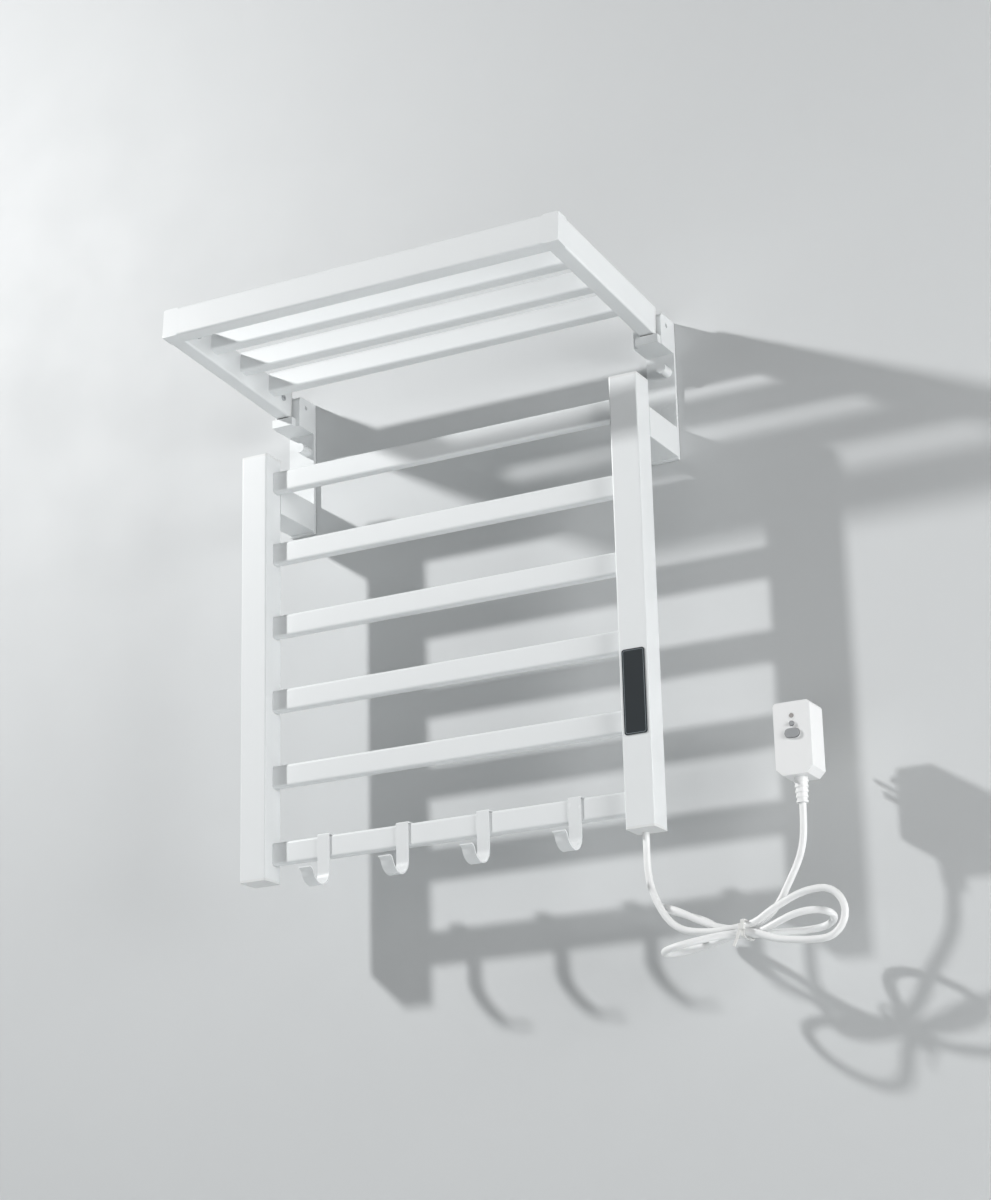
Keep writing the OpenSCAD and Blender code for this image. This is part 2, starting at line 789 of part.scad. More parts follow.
// Push button of the plug: cap outside the case, stem through it, flange inside
module test_button() {
    color("silver")
    translate([plug_at[0], plug_at[1], plug_at[2] + test_up]) {
        translate([0, (plug_wall + 0.8 - button_proud) / 2, 0]) rod_y(test_d, button_proud + plug_wall + 0.8);
        translate([0, plug_wall + 0.3 + 0.5, 0]) rod_y(test_d + 1.6, 1);
    }
}

module reset_button() {
    color("gray")
    translate([plug_at[0], plug_at[1], plug_at[2] + reset_up]) {
        translate([0, (plug_wall + 0.8 - button_proud) / 2, 0])
            along_y(button_proud + plug_wall + 0.8) rounded(reset_w, reset_h, reset_h / 2 - eps);
        translate([0, plug_wall + 0.3 + 0.5, 0])
            along_y(1) rounded(reset_w + 2, reset_h + 2, reset_h / 2 + 1 - eps);
    }
}

module plug_lamp() {
    color("red")
    translate([plug_at[0], plug_at[1], plug_at[2] + lamp_up])
        translate([0, 1.6, 0]) rod_y(lamp_d, 4);
}

// ---- one line for each sub-part ----

post(-1);  // post_left
post(1);  // post_right
end_cap(-1, 1);  // cap_top_left
end_cap(1, 1);  // cap_top_right
end_cap(-1, -1);  // cap_bottom_left
end_cap(1, -1);  // cap_bottom_right
bar(0);  // bar_1
bar(1);  // bar_2
bar(2);  // bar_3
bar(3);  // bar_4
bar(4);  // bar_5
bar(5);  // bar_6
heating_wires();
panel_frame();
touch_glass();
control_board();
power_module();
bar_sensor();
terminal_block();
cord_clamp();
wall_plate(-1);  // wall_plate_left
wall_plate(1);  // wall_plate_right
standoff(-1);  // standoff_left
standoff(1);  // standoff_right
standoff_cores();
core_bolts();
standoff_screws();
hinge_block(-1);  // hinge_block_left
hinge_block(1);  // hinge_block_right
hinge_pins();
rest_pads();
lock_screws();
arm(-1);  // arm_left
arm(1);  // arm_right
front_rail();
corner(-1);  // corner_left
corner(1);  // corner_right
slat(0);  // slat_1
slat(1);  // slat_2
slat(2);  // slat_3
tongue(-1);  // tongue_left
tongue(1);  // tongue_right
shelf_screws(corner_screw_y);  // corner_screws
shelf_screws(tongue_screw_y);  // tongue_screws
hook(0);  // hook_1
hook(1);  // hook_2
hook(2);  // hook_3
hook(3);  // hook_4
mains_cord();
cable_tie();
plug_front();
plug_back();
plug_core();
plug_pins();
plug_boot();
test_button();
reset_button();
plug_lamp();
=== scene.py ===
"""Wall-hung electric towel rail with a folding shelf: camera, light, lead, trim and finishes."""

import logging
import math
from dataclasses import dataclass, field
from enum import Enum
from typing import TypeVar

import bmesh
import bpy
from mathutils import Matrix, Vector


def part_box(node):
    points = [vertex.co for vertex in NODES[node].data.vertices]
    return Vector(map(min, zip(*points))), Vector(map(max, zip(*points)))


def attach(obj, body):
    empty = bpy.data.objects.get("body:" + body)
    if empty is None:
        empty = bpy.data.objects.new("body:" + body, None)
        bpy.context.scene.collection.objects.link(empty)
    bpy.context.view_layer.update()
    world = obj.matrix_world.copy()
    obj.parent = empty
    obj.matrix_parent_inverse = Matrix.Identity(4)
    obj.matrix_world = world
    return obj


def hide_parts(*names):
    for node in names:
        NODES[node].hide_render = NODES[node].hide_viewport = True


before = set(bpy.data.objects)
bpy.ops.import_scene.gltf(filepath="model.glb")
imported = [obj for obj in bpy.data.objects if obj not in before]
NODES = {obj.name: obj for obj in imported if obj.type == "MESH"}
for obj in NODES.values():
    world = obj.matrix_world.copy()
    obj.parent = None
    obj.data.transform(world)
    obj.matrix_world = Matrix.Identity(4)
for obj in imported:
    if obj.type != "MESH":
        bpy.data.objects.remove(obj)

log = logging.getLogger("towel_rail")

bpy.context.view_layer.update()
MIDDLE_BAND = 1e-6
FLAT_END = 0.9
Point = tuple[float, float, float]
Colour = tuple[float, float, float]
Station = tuple[Vector, Vector]
Entry = TypeVar("Entry")


class Grain(Enum):
    """How the surface of a finish is broken up."""

    ORANGE_PEEL = "orange peel"
    MOULDED = "moulded"
    DRAWN = "drawn"
    SMOOTH = "smooth"


def mm(*values: float) -> Vector:
    """Turn millimetres into a vector in metres."""
    return Vector(values) * 0.001


def clear_selection() -> None:
    """Leave object mode with nothing selected."""
    if bpy.context.object and bpy.context.object.mode != "OBJECT":
        bpy.ops.object.mode_set(mode="OBJECT")
    bpy.ops.object.select_all(action="DESELECT")


def settle(obj: bpy.types.Object, name: str) -> bpy.types.Object:
    """Name a new piece and put its place, turn and size into its mesh.

    Args:
        obj: The piece that was just added.
        name: The piece's name.

    Returns:
        The same piece, at the origin.
    """
    clear_selection()
    obj.name = name
    obj.data.name = name
    obj.select_set(True)
    bpy.context.view_layer.objects.active = obj
    bpy.ops.object.transform_apply(location=True, rotation=True, scale=True)
    return obj


def keep_modifiers(obj: bpy.types.Object) -> bpy.types.Object:
    """Apply every modifier of a piece, in order.

    Args:
        obj: The piece whose modifiers are wanted in its mesh.

    Returns:
        The same piece with no modifiers.
    """
    clear_selection()
    obj.select_set(True)
    bpy.context.view_layer.objects.active = obj
    for modifier in list(obj.modifiers):
        bpy.ops.object.modifier_apply(modifier=modifier.name)
    return obj


# ---------------------------------------------------------------------------------------------
# Finishes
# ---------------------------------------------------------------------------------------------


class SurfaceEffects:
    """Node groups that several finishes share. Each is built once."""

    @staticmethod
    def group(name: str, inputs: dict[str, float], outputs: dict[str, str]) -> bpy.types.NodeTree:
        """Start a node group with number inputs and typed outputs.

        Args:
            name: The group's name.
            inputs: Input names and their default values.
            outputs: Output names and their socket types.

        Returns:
            The new, empty group with its input and output nodes.
        """
        tree = bpy.data.node_groups.new(name, "ShaderNodeTree")
        for label, value in inputs.items():
            socket = tree.interface.new_socket(label, in_out="INPUT", socket_type="NodeSocketFloat")
            socket.default_value = value
        for label, kind in outputs.items():
            tree.interface.new_socket(label, in_out="OUTPUT", socket_type=kind)
        tree.nodes.new("NodeGroupInput").location = (-900, 0)
        tree.nodes.new("NodeGroupOutput").location = (500, 0)
        return tree

    @classmethod
    def speckle(cls) -> bpy.types.NodeTree:
        """Build or find the group for fine bumps, soft clouding and a few specks of dust.

        Returns:
            The group, whose outputs are the bumps' height, a cloud mask and a dust mask.
        """
        known = bpy.data.node_groups.get("CoatSpeckle")
        if known:
            return known
        tree = cls.group(
            "CoatSpeckle",
            {"Bump Scale": 900.0, "Cloud Scale": 9.0, "Stretch": 1.0},
            {"Height": "NodeSocketFloat", "Cloud": "NodeSocketFloat", "Dust": "NodeSocketFloat"},
        )
        nodes, links = tree.nodes, tree.links
        ins, outs = nodes["Group Input"], nodes["Group Output"]
        coord = nodes.new("ShaderNodeTexCoord")
        stretch = nodes.new("ShaderNodeCombineXYZ")
        links.new(ins.outputs["Stretch"], stretch.inputs["X"])
        stretch.inputs["Y"].default_value = 1.0
        stretch.inputs["Z"].default_value = 1.0
        place = nodes.new("ShaderNodeVectorMath")
        place.operation = "MULTIPLY"
        links.new(coord.outputs["Object"], place.inputs[0])
        links.new(stretch.outputs["Vector"], place.inputs[1])
        fine = nodes.new("ShaderNodeTexNoise")
        fine.inputs["Detail"].default_value = 3.0
        links.new(place.outputs["Vector"], fine.inputs["Vector"])
        links.new(ins.outputs["Bump Scale"], fine.inputs["Scale"])
        cloud = nodes.new("ShaderNodeTexNoise")
        cloud.inputs["Detail"].default_value = 5.0
        cloud.inputs["Roughness"].default_value = 0.6
        links.new(coord.outputs["Object"], cloud.inputs["Vector"])
        links.new(ins.outputs["Cloud Scale"], cloud.inputs["Scale"])
        specks = nodes.new("ShaderNodeTexVoronoi")
        specks.inputs["Scale"].default_value = 260.0
        links.new(coord.outputs["Object"], specks.inputs["Vector"])
        rare = nodes.new("ShaderNodeMapRange")
        rare.inputs["From Min"].default_value = 0.09
        rare.inputs["From Max"].default_value = 0.03
        links.new(specks.outputs["Distance"], rare.inputs["Value"])
        links.new(fine.outputs["Fac"], outs.inputs["Height"])
        links.new(cloud.outputs["Fac"], outs.inputs["Cloud"])
        links.new(rare.outputs["Result"], outs.inputs["Dust"])
        return tree

    @classmethod
    def painted_edge_highlight(cls) -> bpy.types.NodeTree:
        """Build or find the group for a painted highlight: a pale tone screened onto convex edges.

        Returns:
            The group, whose output is a painted-highlight mask that is bright on convex edges.
        """
        known = bpy.data.node_groups.get("PaintedEdgeHighlight")
        if known:
            return known
        tree = cls.group("PaintedEdgeHighlight", {"Width": 0.5}, {"Edge": "NodeSocketFloat"})
        nodes, links = tree.nodes, tree.links
        ins, outs = nodes["Group Input"], nodes["Group Output"]
        geometry = nodes.new("ShaderNodeNewGeometry")
        spread = nodes.new("ShaderNodeMapRange")
        links.new(geometry.outputs["Pointiness"], spread.inputs["Value"])
        spread.inputs["From Min"].default_value = 0.5
        spread.inputs["From Max"].default_value = 0.62
        scale = nodes.new("ShaderNodeMath")
        scale.operation = "MULTIPLY"
        links.new(spread.outputs["Result"], scale.inputs[0])
        links.new(ins.outputs["Width"], scale.inputs[1])
        links.new(scale.outputs["Value"], outs.inputs["Edge"])
        return tree


@dataclass(frozen=True)
class Finish:
    """One surface finish: colour, gloss, how its surface is broken up, and a painted edge
    highlight.
    """

    name: str
    colour: Colour
    roughness: float
    grain: Grain
    second: Colour
    metallic: float = 0.0
    coat: float = 0.0
    bump: float = 0.05
    bump_scale: float = 900.0
    bump_depth: float = 0.0002
    drawn_stretch: float = 0.06
    coat_roughness: float = 0.08
    # Strength of the painted highlight: how much paler convex edges are made.
    edge_highlight_lift: float = 0.12
    dust_lift: float = 0.08
    gloss_spread: float = 0.15

    def material(self) -> bpy.types.Material:
        """Build the finish's material, or find it if it is already there.

        Returns:
            The Principled material with procedural colour, painted edge highlight, roughness and
            bump.
        """
        known = bpy.data.materials.get(self.name)
        if known:
            return known
        material = bpy.data.materials.new(self.name)
        material.use_nodes = True
        nodes, links = material.node_tree.nodes, material.node_tree.links
        shader = nodes["Principled BSDF"]
        shader.inputs["Metallic"].default_value = self.metallic
        shader.inputs["Coat Weight"].default_value = self.coat
        shader.inputs["Coat Roughness"].default_value = self.coat_roughness

        speckle = nodes.new("ShaderNodeGroup")
        speckle.node_tree = SurfaceEffects.speckle()
        speckle.inputs["Bump Scale"].default_value = self.bump_scale
        stretch = self.drawn_stretch if self.grain is Grain.DRAWN else 1.0
        speckle.inputs["Stretch"].default_value = stretch
        edge = nodes.new("ShaderNodeGroup")
        edge.node_tree = SurfaceEffects.painted_edge_highlight()

        mix = nodes.new("ShaderNodeMix")
        mix.data_type = "RGBA"
        mix.inputs["A"].default_value = (*self.colour, 1.0)
        mix.inputs["B"].default_value = (*self.second, 1.0)
        links.new(speckle.outputs["Cloud"], mix.inputs["Factor"])
        # Painted highlight: convex edges are screened paler, standing in for light catching them.
        edge_highlight_mix = nodes.new("ShaderNodeMix")
        edge_highlight_mix.data_type = "RGBA"
        edge_highlight_mix.blend_type = "SCREEN"
        edge_highlight_mix.inputs["B"].default_value = (self.edge_highlight_lift, self.edge_highlight_lift, self.edge_highlight_lift, 1.0)
        links.new(edge.outputs["Edge"], edge_highlight_mix.inputs["Factor"])
        links.new(mix.outputs["Result"], edge_highlight_mix.inputs["A"])
        links.new(edge_highlight_mix.outputs["Result"], shader.inputs["Base Color"])

        rough = nodes.new("ShaderNodeMapRange")
        rough.inputs["To Min"].default_value = self.roughness * (1.0 - self.gloss_spread)
        rough.inputs["To Max"].default_value = min(1.0, self.roughness * (1.0 + self.gloss_spread))
        links.new(speckle.outputs["Cloud"], rough.inputs["Value"])
        dusty = nodes.new("ShaderNodeMath")
        dusty.operation = "MULTIPLY_ADD"
        links.new(speckle.outputs["Dust"], dusty.inputs[0])
        dusty.inputs[1].default_value = self.dust_lift
        links.new(rough.outputs["Result"], dusty.inputs[2])
        links.new(dusty.outputs["Value"], shader.inputs["Roughness"])

        if self.grain is not Grain.SMOOTH:
            bump = nodes.new("ShaderNodeBump")
            bump.inputs["Strength"].default_value = self.bump
            bump.inputs["Distance"].default_value = self.bump_depth
            links.new(speckle.outputs["Height"], bump.inputs["Height"])
            links.new(bump.outputs["Normal"], shader.inputs["Normal"])
        material.diffuse_color = (*self.colour, 1.0)
        return material


WHITE_COAT = Finish(
    "WhitePowderCoat",
    colour=(0.83, 0.85, 0.855),
    second=(0.80, 0.82, 0.825),
    roughness=0.30,
    grain=Grain.ORANGE_PEEL,
    bump=0.12,
    bump_scale=1500.0,
)
WHITE_STEEL = Finish(
    "WhiteCoatedSteel",
    colour=(0.82, 0.84, 0.845),
    second=(0.78, 0.80, 0.805),
    roughness=0.28,
    grain=Grain.ORANGE_PEEL,
    bump=0.10,
    bump_scale=1700.0,
)
WHITE_MOULDED = Finish(
    "WhiteMoulded",
    colour=(0.80, 0.81, 0.81),
    second=(0.76, 0.77, 0.765),
    roughness=0.38,
    grain=Grain.MOULDED,
    bump=0.10,
    bump_scale=2600.0,
)
PLUG_SHELL = Finish(
    "PlugShell",
    colour=(0.91, 0.915, 0.915),
    second=(0.88, 0.885, 0.885),
    roughness=0.30,
    grain=Grain.MOULDED,
    bump=0.06,
    bump_scale=2200.0,
)
LEAD_JACKET = Finish(
    "LeadJacket",
    colour=(0.91, 0.915, 0.915),
    second=(0.88, 0.885, 0.88),
    roughness=0.42,
    grain=Grain.MOULDED,
    bump=0.10,
    bump_scale=1800.0,
)
TIE_NYLON = Finish(
    "TieNylon",
    colour=(0.80, 0.80, 0.78),
    second=(0.74, 0.74, 0.72),
    roughness=0.35,
    grain=Grain.MOULDED,
    bump=0.06,
)
PANEL_GLASS = Finish(
    "PanelGlass",
    colour=(0.030, 0.036, 0.040),
    second=(0.038, 0.044, 0.048),
    roughness=0.16,
    grain=Grain.SMOOTH,
    coat=0.6,
)
PANEL_LINE = Finish(
    "PanelLine",
    colour=(0.30, 0.34, 0.36),
    second=(0.26, 0.30, 0.32),
    roughness=0.35,
    grain=Grain.SMOOTH,
)
DARK_MOULDED = Finish(
    "DarkMoulded",
    colour=(0.035, 0.035, 0.037),
    second=(0.05, 0.05, 0.052),
    roughness=0.45,
    grain=Grain.MOULDED,
    bump=0.2,
)
GREY_BUTTON = Finish(
    "GreyButton",
    colour=(0.36, 0.37, 0.38),
    second=(0.31, 0.32, 0.33),
    roughness=0.40,
    grain=Grain.MOULDED,
    bump=0.12,
)
LAMP_LENS = Finish(
    "LampLens",
    colour=(0.42, 0.40, 0.38),
    second=(0.34, 0.32, 0.31),
    roughness=0.18,
    grain=Grain.SMOOTH,
    coat=0.5,
)
PAD_RUBBER = Finish(
    "PadRubber",
    colour=(0.05, 0.05, 0.05),
    second=(0.07, 0.07, 0.07),
    roughness=0.75,
    grain=Grain.MOULDED,
    bump=0.3,
    bump_scale=700.0,
)
ZINC_STEEL = Finish(
    "ZincSteel",
    colour=(0.60, 0.61, 0.62),
    second=(0.50, 0.51, 0.53),
    roughness=0.32,
    grain=Grain.DRAWN,
    metallic=1.0,
    bump=0.15,
    bump_scale=1200.0,
)
PIN_BRASS = Finish(
    "PinBrass",
    colour=(0.78, 0.66, 0.38),
    second=(0.70, 0.57, 0.30),
    roughness=0.24,
    grain=Grain.DRAWN,
    metallic=1.0,
    bump=0.1,
)
BOARD_LACQUER = Finish(
    "BoardLacquer",
    colour=(0.02, 0.13, 0.06),
    second=(0.03, 0.17, 0.08),
    roughness=0.35,
    grain=Grain.MOULDED,
    bump=0.2,
)
HEAT_SILICONE = Finish(
    "HeatSilicone",
    colour=(0.42, 0.06, 0.04),
    second=(0.34, 0.05, 0.04),
    roughness=0.55,
    grain=Grain.MOULDED,
    bump=0.2,
)
WALL_PAINT = Finish(
    "WallPaint",
    colour=(0.66, 0.675, 0.68),
    second=(0.64, 0.655, 0.66),
    roughness=0.6,
    grain=Grain.MOULDED,
    bump=0.06,
    bump_scale=60.0,
)


# ---------------------------------------------------------------------------------------------
# Studio
# ---------------------------------------------------------------------------------------------


@dataclass(frozen=True)
class RoundLight:
    """A round area light: its place and target in metres, its width and its power in watts."""

    name: str
    place: Point
    target: Point
    width: float
    power: float

    def add(self) -> None:
        """Put the light in the scene, turned to its target."""
        data = bpy.data.lights.new(self.name, "AREA")
        data.shape = "DISK"
        data.size = self.width
        data.energy = self.power
        light = bpy.data.objects.new(self.name, data)
        bpy.context.scene.collection.objects.link(light)
        light.location = self.place
        aim = Vector(self.target) - Vector(self.place)
        light.rotation_euler = aim.to_track_quat("-Z", "Y").to_euler()


@dataclass
class Studio:
    """Camera, backdrop and lights."""

    eye: Point = (1.2958, -2.4357, -1.0767)
    forward: Point = (-0.44256, 0.84308, 0.30554)
    up: Point = (0.16362, -0.25908, 0.95190)
    lens: float = 80.865
    sensor: float = 36.0
    far: float = 50.0
    floor_z: float = -1.35
    backdrop_size: float = 9.0
    wall_gap: float = 0.0006
    sky: Colour = (0.93, 0.965, 1.0)
    sky_strength: float = 0.05
    key: RoundLight = RoundLight("key", (-1.92, -1.36, 1.10), (0.63, -2.11, -0.25), 0.15, 94.0)
    fill_right: RoundLight = RoundLight(
        "fill_right", (2.7, -0.95, -0.2), (0.1, -0.1, -0.25), 1.3, 46.0
    )
    fill_low: RoundLight = RoundLight("fill_low", (0.5, -1.8, -1.1), (0.1, -0.1, -0.2), 1.4, 3.0)

    def camera(self) -> None:
        """Place the camera low and to the right, looking up at the rail."""
        data = bpy.data.cameras.new("camera")
        camera = bpy.data.objects.new("camera", data)
        bpy.context.scene.collection.objects.link(camera)
        back = -Vector(self.forward).normalized()
        up = (Vector(self.up) - Vector(self.up).dot(back) * back).normalized()
        turn = Matrix((up.cross(back), up, back)).transposed()
        camera.matrix_world = Matrix.Translation(Vector(self.eye)) @ turn.to_4x4()
        data.sensor_fit = "VERTICAL"
        data.sensor_height = self.sensor
        data.lens = self.lens
        data.clip_end = self.far
        bpy.context.scene.camera = camera

    def backdrop(self) -> None:
        """Stage a pale wall, seen only from the room's side, and a pale floor."""
        half = self.backdrop_size / 2
        clear_selection()
        bpy.ops.mesh.primitive_plane_add(
            size=self.backdrop_size,
            location=(0, self.wall_gap, self.floor_z + half),
            rotation=(math.pi / 2, 0, 0),
        )
        wall = settle(bpy.context.object, "backdrop_wall")
        clear_selection()
        bpy.ops.mesh.primitive_plane_add(
            size=self.backdrop_size, location=(0, -half, self.floor_z)
        )
        floor = settle(bpy.context.object, "backdrop_floor")
        material = WALL_PAINT.material()
        nodes, links = material.node_tree.nodes, material.node_tree.links
        out, shader = nodes["Material Output"], nodes["Principled BSDF"]
        clear = nodes.new("ShaderNodeBsdfTransparent")
        side = nodes.new("ShaderNodeNewGeometry")
        swap = nodes.new("ShaderNodeMixShader")
        links.new(side.outputs["Backfacing"], swap.inputs["Fac"])
        links.new(shader.outputs["BSDF"], swap.inputs[1])
        links.new(clear.outputs["BSDF"], swap.inputs[2])
        links.new(swap.outputs["Shader"], out.inputs["Surface"])
        for obj in (wall, floor):
            obj.data.materials.append(material)

    def lights(self) -> None:
        """One small, near key from the upper left, with broad soft fills."""
        for light in (self.key, self.fill_right, self.fill_low):
            light.add()
        world = bpy.data.worlds.new("studio")
        world.use_nodes = True
        shade = world.node_tree.nodes["Background"]
        shade.inputs["Color"].default_value = (*self.sky, 1.0)
        shade.inputs["Strength"].default_value = self.sky_strength
        bpy.context.scene.world = world
        bpy.context.scene.view_settings.view_transform = "Standard"


# ---------------------------------------------------------------------------------------------
# Mains lead
# ---------------------------------------------------------------------------------------------


@dataclass
class MainsLead:
    """White mains lead: out of the right post, folded in a tied hank, and up into its plug."""

    diameter: float = 0.007
    fold_radius: float = 0.022
    handle: float = 0.39
    pitch: float = 0.004
    round_steps: int = 6
    ends: tuple[str, ...] = (
        "plug_front",
        "plug_back",
        "plug_core",
        "plug_pins",
        "plug_boot",
        "plug_lamp",
        "test_button",
        "reset_button",
    )
    tie: Vector = field(default_factory=lambda: mm(318, -72, -596))
    exit: Vector = field(default_factory=lambda: mm(219, -79, -490))

    def fold(self, tip: Vector, across: Vector) -> list[Station]:
        """A fold of the hank, as places and directions.

        Args:
            tip: The far end of the fold.
            across: The side that the lead comes back on.

        Returns:
            The place and direction before the tip, at it and after it.
        """
        out = (tip - self.tie).normalized()
        side = (across - across.dot(out) * out).normalized()
        centre = tip - self.fold_radius * out
        return [
            (centre - self.fold_radius * side, out),
            (tip, side),
            (centre + self.fold_radius * side, -out),
        ]

    def stations(self) -> list[Station]:
        """List the chosen stations of the lead's middle line.

        Returns:
            Each station's place, in order, with the lead's direction there.
        """
        right, left, down = Vector((1, 0, 0)), Vector((-1, 0, 0)), Vector((0, 0, -1))
        top_front = self.tie + mm(0, -3.8, 3.8)
        top_back = self.tie + mm(0, 3.8, 3.8)
        low_front = self.tie + mm(0, -7.6, -3.4)
        low_middle = self.tie + mm(0, 0, -3.4)
        low_back = self.tie + mm(0, 7.6, -3.4)
        return [
            (mm(219, -79, -472), down),
            (mm(219, -79, -512), down),
            (mm(229, -79, -562), Vector((3, 0, -6.2))),
            (mm(262, -77, -592), Vector((1, 0, -0.2))),
            (top_front, right + Vector((0, 0, 0.1))),
            (mm(350, -79, -579), Vector((2, 0, 0.9))),
            (mm(397, -81, -566), right),
            (mm(421, -81, -590), down),
            (mm(397, -81, -614), left),
            (mm(355, -80, -610), Vector((-1, 0, 0.18))),
            (low_front, left),
            *self.fold(mm(235, -80, -611), Vector((0, 1, 0.1))),
            (low_middle, right),
            *self.fold(mm(398, -50, -588), Vector((0, 1, -0.2))),
            (low_back, left),
            *self.fold(mm(221, -44, -560), Vector((0, -1, 0))),
            (top_back, right + Vector((0, 0, 0.15))),
            (mm(356, -65, -561), Vector((0.5, 0, 0.87))),
            (mm(379, -67, -504), Vector((0.05, 0, 1))),
            (mm(380, -68, -456), Vector((0, 0, 1))),
        ]

    def route(self) -> list[Vector]:
        """Join the stations by smooth curves.

        Returns:
            Closely spaced points on the lead's middle line.
        """
        stations = self.stations()
        points = [stations[0][0]]
        for (a, way_a), (b, way_b) in zip(stations, stations[1:]):
            chord = (b - a).length
            reach = self.handle * chord
            p = a + reach * way_a.normalized()
            q = b - reach * way_b.normalized()
            steps = max(2, round(chord / self.pitch))
            for i in range(1, steps + 1):
                t = i / steps
                s = 1 - t
                points.append(s**3 * a + 3 * s * s * t * p + 3 * s * t * t * q + t**3 * b)
        return points

    def build(self, plug_trim: list[bpy.types.Object]) -> None:
        """Args:
            plug_trim: Small pieces that stay on the plug. Not used.
        """
        points = self.route()
        curve = bpy.data.curves.new("mains_lead", "CURVE")
        curve.dimensions = "3D"
        curve.bevel_depth = self.diameter / 2
        curve.bevel_resolution = self.round_steps
        curve.use_fill_caps = True
        line = curve.splines.new("POLY")
        line.points.add(len(points) - 1)
        for slot, point in zip(line.points, points):
            slot.co = (*point, 1.0)
        lead = bpy.data.objects.new("mains_lead", curve)
        bpy.context.scene.collection.objects.link(lead)
        curve.materials.append(LEAD_JACKET.material())
        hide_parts("mains_cord")
        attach(lead, "rail")


# ---------------------------------------------------------------------------------------------
# Trim
# ---------------------------------------------------------------------------------------------


@dataclass
class TouchPanel:
    """Pale hairline frame printed just inside the edge of the glass."""

    inset: float = 0.0013
    line: float = 0.0004
    lift: float = 0.00004
    corner: float = 0.0022
    corner_steps: int = 8

    def build(self) -> None:
        """Model the frame line from a plane: bevelled corners, inset, and the middle removed."""
        low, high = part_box("touch_glass")
        middle = (low + high) / 2
        width = high.x - low.x - 2 * self.inset
        height = high.z - low.z - 2 * self.inset
        clear_selection()
        bpy.ops.mesh.primitive_plane_add(
            size=1.0,
            location=(middle.x, low.y - self.lift, middle.z),
            rotation=(math.pi / 2, 0, 0),
        )
        ring = bpy.context.object
        ring.scale = (width, height, 1.0)
        settle(ring, "panel_line")
        bpy.ops.object.mode_set(mode="EDIT")
        bpy.ops.mesh.select_all(action="SELECT")
        bpy.ops.mesh.bevel(offset=self.corner, segments=self.corner_steps, affect="VERTICES")
        bpy.ops.mesh.select_all(action="SELECT")
        bpy.ops.mesh.inset(thickness=self.line, depth=0.0)
        bpy.ops.mesh.delete(type="FACE")
        bpy.ops.object.mode_set(mode="OBJECT")
        ring.data.materials.append(PANEL_LINE.material())
        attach(ring, "rail")
        log.info("panel line %d faces", len(ring.data.polygons))


@dataclass
class PlugTrim:
    """Small moulded details on the plug's face."""

    rim: float = 0.0007
    gap: float = 0.00045
    depth: float = 0.0006
    proud: float = 0.0001
    soft_edge: float = 0.00015
    sides: int = 64
    flanges: dict[str, float] = field(
        default_factory=lambda: {"reset_button": 0.001, "test_button": 0.0008, "plug_lamp": 0.0}
    )

    def build(self) -> list[bpy.types.Object]:
        """Model the raised collar round each button and the lamp."""
        return [self.collar(node) for node in self.flanges]

    @staticmethod
    def pull(collar: bpy.types.Object, side: int, way: float) -> None:
        """Move the half of a round collar that is on one side, to make it longer.

        Args:
            collar: The collar, in edit mode.
            side: 1 for the right half and -1 for the left.
            way: How far the half moves, in metres.
        """
        mesh = bmesh.from_edit_mesh(collar.data)
        for vert in mesh.verts:
            vert.select = side * vert.co.x > MIDDLE_BAND
        mesh.select_flush_mode()
        bmesh.update_edit_mesh(collar.data)
        bpy.ops.transform.translate(value=(side * way, 0, 0))

    def collar(self, node: str) -> bpy.types.Object:
        """Model one low collar on the plug's face.

        Args:
            node: The CAD node that the collar goes round.

        Returns:
            The collar.
        """
        low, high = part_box(node)
        face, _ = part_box("plug_front")
        half_x = (high.x - low.x) / 2 - self.flanges[node]
        half_z = (high.z - low.z) / 2 - self.flanges[node]
        clear_selection()
        bpy.ops.mesh.primitive_cylinder_add(
            vertices=self.sides,
            radius=half_z + self.gap + self.rim,
            depth=self.depth,
            rotation=(math.pi / 2, 0, 0),
        )
        collar = settle(bpy.context.object, "collar_" + node)
        bpy.ops.object.mode_set(mode="EDIT")
        for side in (1, -1):
            self.pull(collar, side, max(0.0, half_x - half_z))
        mesh = bmesh.from_edit_mesh(collar.data)
        for flat in mesh.faces:
            flat.select = abs(flat.normal.y) > FLAT_END
        bmesh.update_edit_mesh(collar.data)
        bpy.ops.mesh.inset(thickness=self.rim, depth=0.0)
        bpy.ops.mesh.bridge_edge_loops()
        bpy.ops.mesh.select_all(action="SELECT")
        bpy.ops.mesh.normals_make_consistent(inside=False)
        bpy.ops.object.mode_set(mode="OBJECT")
        collar.location = ((low.x + high.x) / 2, face.y - self.proud, (low.z + high.z) / 2)
        settle(collar, "collar_" + node)
        soft = collar.modifiers.new("soft", "BEVEL")
        soft.width = self.soft_edge
        soft.segments = 2
        soft.limit_method = "ANGLE"
        keep_modifiers(collar)
        collar.data.materials.append(PLUG_SHELL.material())
        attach(collar, "rail")
        return collar


# ---------------------------------------------------------------------------------------------
# Dressing of the frame's own parts
# ---------------------------------------------------------------------------------------------


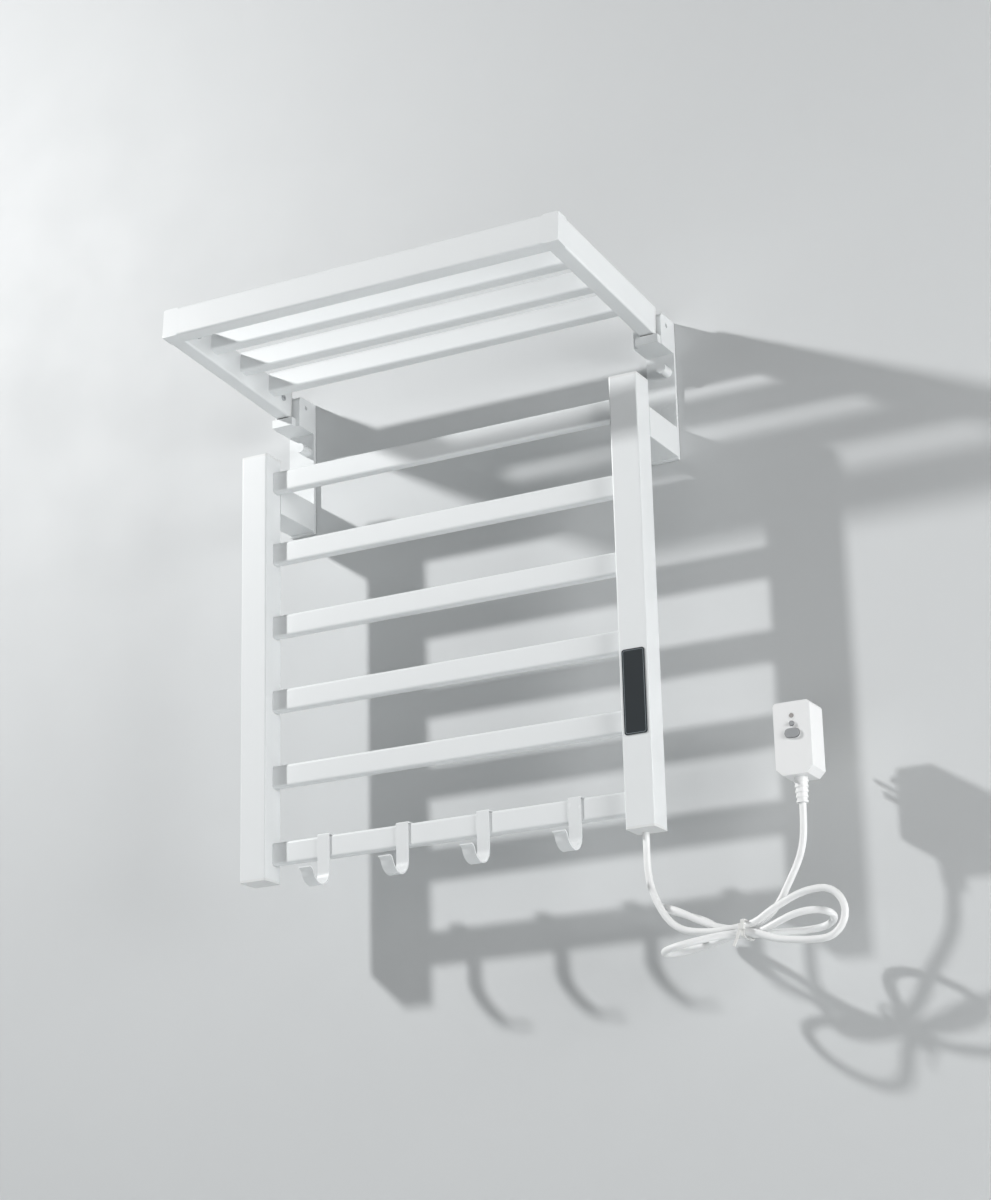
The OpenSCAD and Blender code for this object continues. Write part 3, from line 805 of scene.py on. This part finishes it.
@dataclass
class PartDressing:
    """Gives every part of the frame its finish, and small mouldings a softly broken edge."""

    merge: float = 0.00001
    soft_angle: float = math.radians(40)
    crisp_angle: float = math.radians(35)
    evenness: int = 90
    starts: dict[Finish, tuple[str, ...]] = field(
        default_factory=lambda: {
            WHITE_COAT: ("post", "bar", "arm", "front_rail", "slat", "standoff", "corner"),
            WHITE_STEEL: ("wall_plate", "hinge_block", "lock_screws", "hook"),
            WHITE_MOULDED: ("cap", "tongue", "terminal_block"),
            TIE_NYLON: ("cable_tie",),
            PLUG_SHELL: ("plug",),
            LEAD_JACKET: ("plug_boot", "mains_cord"),
            PIN_BRASS: ("plug_pins",),
            DARK_MOULDED: ("plug_core", "panel_frame", "power_module"),
            LAMP_LENS: ("plug_lamp",),
            PANEL_GLASS: ("touch_glass",),
            BOARD_LACQUER: ("control_board",),
            HEAT_SILICONE: ("heating_wires",),
            GREY_BUTTON: ("cord_clamp", "test_button", "reset_button"),
            PAD_RUBBER: ("rest_pads",),
            ZINC_STEEL: (
                "hinge_pins",
                "core_bolts",
                "standoff_cores",
                "standoff_screws",
                "corner_screws",
                "tongue_screws",
                "bar_sensor",
            ),
        }
    )
    soft_edges: dict[str, float] = field(
        default_factory=lambda: {
            "cap": 0.0004,
            "corner_left": 0.0004,
            "corner_right": 0.0004,
            "tongue_left": 0.0004,
            "tongue_right": 0.0004,
            "hinge_block": 0.0006,
            "wall_plate": 0.0004,
            "plug_front": 0.0008,
            "plug_back": 0.0006,
            "reset_button": 0.0003,
            "test_button": 0.0002,
            "touch_glass": 0.0002,
        }
    )

    @staticmethod
    def pick(node: str, table: dict[str, Entry]) -> Entry | None:
        """Find the entry of a table whose key is the longest start of a node's name.

        Args:
            node: The CAD node's name.
            table: Entries by the start of a node's name.

        Returns:
            The entry, or None if no key fits.
        """
        keys = [key for key in table if node.startswith(key)]
        return table[max(keys, key=len)] if keys else None

    def shape_edges(self, node: str, obj: bpy.types.Object) -> None:
        """Merge a part's triangles, break its edges softly where it has that, and even its shading.

        Args:
            node: The CAD node's name.
            obj: Its object, whose own mesh stays as it is.
        """
        weld = obj.modifiers.new("weld", "WELD")
        weld.merge_threshold = self.merge
        width = self.pick(node, self.soft_edges)
        if width:
            soft = obj.modifiers.new("soft", "BEVEL")
            soft.width = width
            soft.segments = 2
            soft.limit_method = "ANGLE"
            soft.angle_limit = self.soft_angle
        crisp = obj.modifiers.new("crisp", "EDGE_SPLIT")
        crisp.split_angle = self.crisp_angle
        even = obj.modifiers.new("even", "WEIGHTED_NORMAL")
        even.weight = self.evenness

    def dress(self) -> None:
        """Dress every CAD node."""
        finishes = {start: finish for finish, starts in self.starts.items() for start in starts}
        for node, obj in NODES.items():
            finish = self.pick(node, finishes)
            obj.data.materials.clear()
            obj.data.materials.append(finish.material())
            if node != "mains_cord":
                self.shape_edges(node, obj)
            log.info("dressed %s in %s", node, finish.name)


def main() -> None:
    """Build the scene in order: camera, lead and plug trim, studio, panel line, finishes."""
    logging.basicConfig(level=logging.INFO, format="%(message)s")
    studio = Studio()
    studio.camera()
    MainsLead().build(PlugTrim().build())
    studio.backdrop()
    studio.lights()
    TouchPanel().build()
    PartDressing().dress()


if __name__ == "__main__":
    main()
